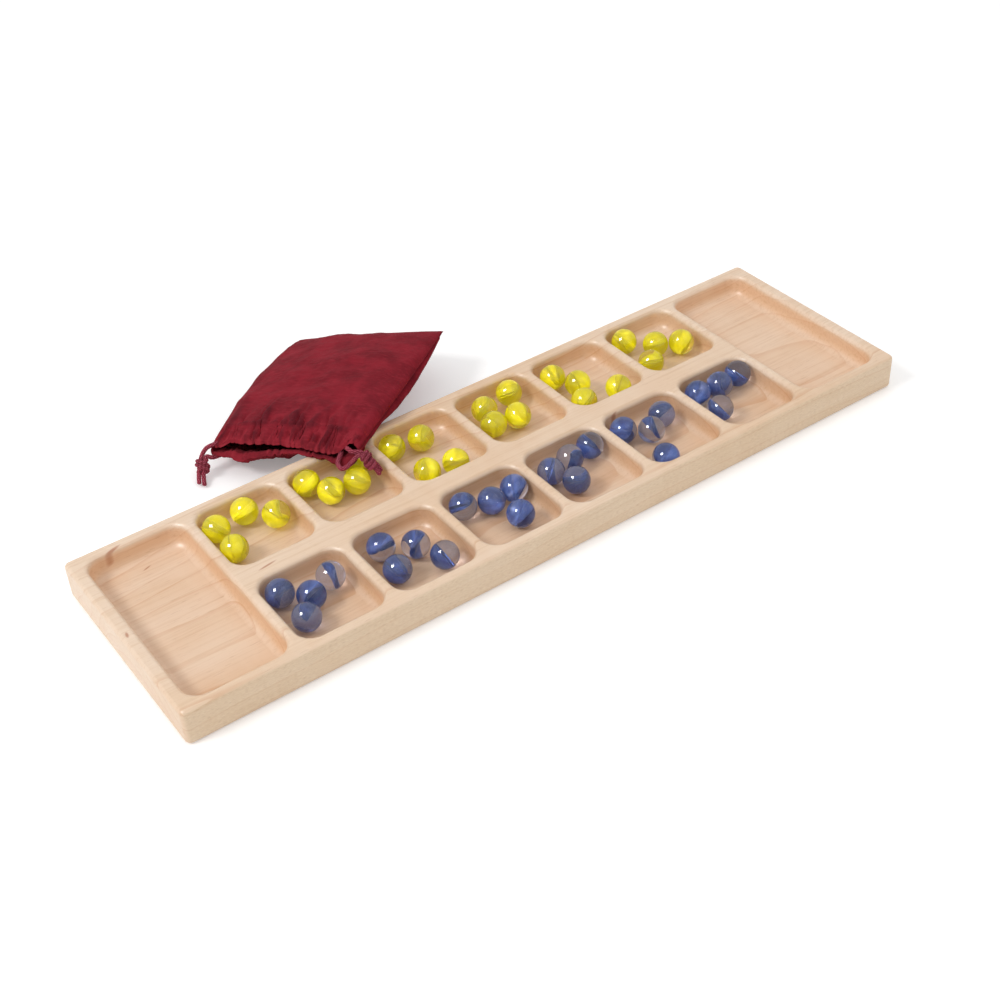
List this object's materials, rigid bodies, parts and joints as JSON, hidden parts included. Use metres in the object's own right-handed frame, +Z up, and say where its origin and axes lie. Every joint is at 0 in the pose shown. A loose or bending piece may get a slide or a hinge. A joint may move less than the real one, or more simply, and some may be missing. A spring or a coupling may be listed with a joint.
{
  "type": "mancala board game set",
  "caption": "Wooden mancala board with two rows of pits and an end store at each side, glass marbles in the pits, and a cotton drawstring bag.",
  "frame": {"origin": "centre of the board's underside", "axes": "+X along the board's length, +Y across it towards the row of pits that the bag lies behind, +Z up"},
  "size_m": [0.4816, 0.2693, 0.0391],
  "materials": {
    "pale_hardwood": "clear satin lacquer",
    "yellow_glass": "polished translucent glass",
    "blue_glass": "polished clear glass with blue vanes",
    "burgundy_cotton": "plain woven cotton",
    "burgundy_cord": "braided cotton"
  },
  "bodies": {
    "board": {"mancala_board": "pale_hardwood"},
    "yellow_marble_01": {"yellow_marble_01": "yellow_glass"},
    "yellow_marble_02": {"yellow_marble_02": "yellow_glass"},
    "yellow_marble_03": {"yellow_marble_03": "yellow_glass"},
    "yellow_marble_04": {"yellow_marble_04": "yellow_glass"},
    "yellow_marble_05": {"yellow_marble_05": "yellow_glass"},
    "yellow_marble_06": {"yellow_marble_06": "yellow_glass"},
    "yellow_marble_07": {"yellow_marble_07": "yellow_glass"},
    "yellow_marble_08": {"yellow_marble_08": "yellow_glass"},
    "yellow_marble_09": {"yellow_marble_09": "yellow_glass"},
    "yellow_marble_10": {"yellow_marble_10": "yellow_glass"},
    "yellow_marble_11": {"yellow_marble_11": "yellow_glass"},
    "yellow_marble_12": {"yellow_marble_12": "yellow_glass"},
    "yellow_marble_13": {"yellow_marble_13": "yellow_glass"},
    "yellow_marble_14": {"yellow_marble_14": "yellow_glass"},
    "yellow_marble_15": {"yellow_marble_15": "yellow_glass"},
    "yellow_marble_16": {"yellow_marble_16": "yellow_glass"},
    "yellow_marble_17": {"yellow_marble_17": "yellow_glass"},
    "yellow_marble_18": {"yellow_marble_18": "yellow_glass"},
    "yellow_marble_19": {"yellow_marble_19": "yellow_glass"},
    "yellow_marble_20": {"yellow_marble_20": "yellow_glass"},
    "yellow_marble_21": {"yellow_marble_21": "yellow_glass"},
    "yellow_marble_22": {"yellow_marble_22": "yellow_glass"},
    "yellow_marble_23": {"yellow_marble_23": "yellow_glass"},
    "yellow_marble_24": {"yellow_marble_24": "yellow_glass"},
    "blue_marble_01": {"blue_marble_01": "blue_glass"},
    "blue_marble_02": {"blue_marble_02": "blue_glass"},
    "blue_marble_03": {"blue_marble_03": "blue_glass"},
    "blue_marble_04": {"blue_marble_04": "blue_glass"},
    "blue_marble_05": {"blue_marble_05": "blue_glass"},
    "blue_marble_06": {"blue_marble_06": "blue_glass"},
    "blue_marble_07": {"blue_marble_07": "blue_glass"},
    "blue_marble_08": {"blue_marble_08": "blue_glass"},
    "blue_marble_09": {"blue_marble_09": "blue_glass"},
    "blue_marble_10": {"blue_marble_10": "blue_glass"},
    "blue_marble_11": {"blue_marble_11": "blue_glass"},
    "blue_marble_12": {"blue_marble_12": "blue_glass"},
    "blue_marble_13": {"blue_marble_13": "blue_glass"},
    "blue_marble_14": {"blue_marble_14": "blue_glass"},
    "blue_marble_15": {"blue_marble_15": "blue_glass"},
    "blue_marble_16": {"blue_marble_16": "blue_glass"},
    "blue_marble_17": {"blue_marble_17": "blue_glass"},
    "blue_marble_18": {"blue_marble_18": "blue_glass"},
    "blue_marble_19": {"blue_marble_19": "blue_glass"},
    "blue_marble_20": {"blue_marble_20": "blue_glass"},
    "blue_marble_21": {"blue_marble_21": "blue_glass"},
    "blue_marble_22": {"blue_marble_22": "blue_glass"},
    "blue_marble_23": {"blue_marble_23": "blue_glass"},
    "blue_marble_24": {"blue_marble_24": "blue_glass"},
    "bag": {"drawstring_bag": "burgundy_cotton", "drawstring_left_upper": "burgundy_cord", "drawstring_left_lower": "burgundy_cord", "drawstring_right_upper": "burgundy_cord", "drawstring_right_lower": "burgundy_cord", "knot_left": "burgundy_cord", "knot_right": "burgundy_cord"}
  },
  "joints": [
    {"name": "yellow_marble_01_lift", "type": "slide", "parent": "board", "child": "yellow_marble_01", "axis": [0, 0, 1], "range_m": [0, 0.04]},
    {"name": "yellow_marble_02_lift", "type": "slide", "parent": "board", "child": "yellow_marble_02", "axis": [0, 0, 1], "range_m": [0, 0.04]},
    {"name": "yellow_marble_03_lift", "type": "slide", "parent": "board", "child": "yellow_marble_03", "axis": [0, 0, 1], "range_m": [0, 0.04]},
    {"name": "yellow_marble_04_lift", "type": "slide", "parent": "board", "child": "yellow_marble_04", "axis": [0, 0, 1], "range_m": [0, 0.04]},
    {"name": "yellow_marble_05_lift", "type": "slide", "parent": "board", "child": "yellow_marble_05", "axis": [0, 0, 1], "range_m": [0, 0.04]},
    {"name": "yellow_marble_06_lift", "type": "slide", "parent": "board", "child": "yellow_marble_06", "axis": [-0.1, -0.1, 0.9899], "range_m": [0, 0.04]},
    {"name": "yellow_marble_07_lift", "type": "slide", "parent": "board", "child": "yellow_marble_07", "axis": [0, 0, 1], "range_m": [0, 0.04]},
    {"name": "yellow_marble_08_lift", "type": "slide", "parent": "board", "child": "yellow_marble_08", "axis": [0, 0, 1], "range_m": [0, 0.04]},
    {"name": "yellow_marble_09_lift", "type": "slide", "parent": "board", "child": "yellow_marble_09", "axis": [0, -0.2, 0.9798], "range_m": [0, 0.04]},
    {"name": "yellow_marble_10_lift", "type": "slide", "parent": "board", "child": "yellow_marble_10", "axis": [0, 0, 1], "range_m": [0, 0.04]},
    {"name": "yellow_marble_11_lift", "type": "slide", "parent": "board", "child": "yellow_marble_11", "axis": [0, 0, 1], "range_m": [0, 0.04]},
    {"name": "yellow_marble_12_lift", "type": "slide", "parent": "board", "child": "yellow_marble_12", "axis": [0, 0, 1], "range_m": [0, 0.04]},
    {"name": "yellow_marble_13_lift", "type": "slide", "parent": "board", "child": "yellow_marble_13", "axis": [0, 0, 1], "range_m": [0, 0.04]},
    {"name": "yellow_marble_14_lift", "type": "slide", "parent": "board", "child": "yellow_marble_14", "axis": [0, 0, 1], "range_m": [0, 0.04]},
    {"name": "yellow_marble_15_lift", "type": "slide", "parent": "board", "child": "yellow_marble_15", "axis": [0, 0, 1], "range_m": [0, 0.04]},
    {"name": "yellow_marble_16_lift", "type": "slide", "parent": "board", "child": "yellow_marble_16", "axis": [0, 0, 1], "range_m": [0, 0.04]},
    {"name": "yellow_marble_17_lift", "type": "slide", "parent": "board", "child": "yellow_marble_17", "axis": [0, 0, 1], "range_m": [0, 0.04]},
    {"name": "yellow_marble_18_lift", "type": "slide", "parent": "board", "child": "yellow_marble_18", "axis": [0, 0, 1], "range_m": [0, 0.04]},
    {"name": "yellow_marble_19_lift", "type": "slide", "parent": "board", "child": "yellow_marble_19", "axis": [0, 0, 1], "range_m": [0, 0.04]},
    {"name": "yellow_marble_20_lift", "type": "slide", "parent": "board", "child": "yellow_marble_20", "axis": [0, 0, 1], "range_m": [0, 0.04]},
    {"name": "yellow_marble_21_lift", "type": "slide", "parent": "board", "child": "yellow_marble_21", "axis": [0, 0, 1], "range_m": [0, 0.04]},
    {"name": "yellow_marble_22_lift", "type": "slide", "parent": "board", "child": "yellow_marble_22", "axis": [0, 0, 1], "range_m": [0, 0.04]},
    {"name": "yellow_marble_23_lift", "type": "slide", "parent": "board", "child": "yellow_marble_23", "axis": [0, 0, 1], "range_m": [0, 0.04]},
    {"name": "yellow_marble_24_lift", "type": "slide", "parent": "board", "child": "yellow_marble_24", "axis": [0, 0, 1], "range_m": [0, 0.04]},
    {"name": "blue_marble_01_lift", "type": "slide", "parent": "board", "child": "blue_marble_01", "axis": [0, 0, 1], "range_m": [0, 0.04]},
    {"name": "blue_marble_02_lift", "type": "slide", "parent": "board", "child": "blue_marble_02", "axis": [0, 0, 1], "range_m": [0, 0.04]},
    {"name": "blue_marble_03_lift", "type": "slide", "parent": "board", "child": "blue_marble_03", "axis": [0, 0, 1], "range_m": [0, 0.04]},
    {"name": "blue_marble_04_lift", "type": "slide", "parent": "board", "child": "blue_marble_04", "axis": [0, 0, 1], "range_m": [0, 0.04]},
    {"name": "blue_marble_05_lift", "type": "slide", "parent": "board", "child": "blue_marble_05", "axis": [0, 0, 1], "range_m": [0, 0.04]},
    {"name": "blue_marble_06_lift", "type": "slide", "parent": "board", "child": "blue_marble_06", "axis": [0, 0, 1], "range_m": [0, 0.04]},
    {"name": "blue_marble_07_lift", "type": "slide", "parent": "board", "child": "blue_marble_07", "axis": [0, 0, 1], "range_m": [0, 0.04]},
    {"name": "blue_marble_08_lift", "type": "slide", "parent": "board", "child": "blue_marble_08", "axis": [0, 0, 1], "range_m": [0, 0.04]},
    {"name": "blue_marble_09_lift", "type": "slide", "parent": "board", "child": "blue_marble_09", "axis": [0, 0, 1], "range_m": [0, 0.04]},
    {"name": "blue_marble_10_lift", "type": "slide", "parent": "board", "child": "blue_marble_10", "axis": [0, 0, 1], "range_m": [0, 0.04]},
    {"name": "blue_marble_11_lift", "type": "slide", "parent": "board", "child": "blue_marble_11", "axis": [0, 0, 1], "range_m": [0, 0.04]},
    {"name": "blue_marble_12_lift", "type": "slide", "parent": "board", "child": "blue_marble_12", "axis": [0, 0, 1], "range_m": [0, 0.04]},
    {"name": "blue_marble_13_lift", "type": "slide", "parent": "board", "child": "blue_marble_13", "axis": [0, 0, 1], "range_m": [0, 0.04]},
    {"name": "blue_marble_14_lift", "type": "slide", "parent": "board", "child": "blue_marble_14", "axis": [0, 0, 1], "range_m": [0, 0.04]},
    {"name": "blue_marble_15_lift", "type": "slide", "parent": "board", "child": "blue_marble_15", "axis": [0, 0, 1], "range_m": [0, 0.04]},
    {"name": "blue_marble_16_lift", "type": "slide", "parent": "board", "child": "blue_marble_16", "axis": [0, 0, 1], "range_m": [0, 0.04]},
    {"name": "blue_marble_17_lift", "type": "slide", "parent": "board", "child": "blue_marble_17", "axis": [0, 0, 1], "range_m": [0, 0.04]},
    {"name": "blue_marble_18_lift", "type": "slide", "parent": "board", "child": "blue_marble_18", "axis": [0, 0, 1], "range_m": [0, 0.04]},
    {"name": "blue_marble_19_lift", "type": "slide", "parent": "board", "child": "blue_marble_19", "axis": [0, 0, 1], "range_m": [0, 0.04]},
    {"name": "blue_marble_20_lift", "type": "slide", "parent": "board", "child": "blue_marble_20", "axis": [0, 0, 1], "range_m": [0, 0.04]},
    {"name": "blue_marble_21_lift", "type": "slide", "parent": "board", "child": "blue_marble_21", "axis": [0, 0, 1], "range_m": [0, 0.04]},
    {"name": "blue_marble_22_lift", "type": "slide", "parent": "board", "child": "blue_marble_22", "axis": [0, 0, 1], "range_m": [0, 0.04]},
    {"name": "blue_marble_23_lift", "type": "slide", "parent": "board", "child": "blue_marble_23", "axis": [0, 0, 1], "range_m": [0, 0.04]},
    {"name": "blue_marble_24_lift", "type": "slide", "parent": "board", "child": "blue_marble_24", "axis": [0, 0, 1], "range_m": [0, 0.04]},
    {"name": "bag_lift", "type": "slide", "parent": "board", "child": "bag", "axis": [0, 0, 1], "range_m": [0, 0.12]}
  ],
  "couplings": [
    {"joint": "yellow_marble_07_lift", "follows": "bag_lift", "ratio": 0.3333},
    {"joint": "yellow_marble_08_lift", "follows": "bag_lift", "ratio": 0.3333}
  ]
}
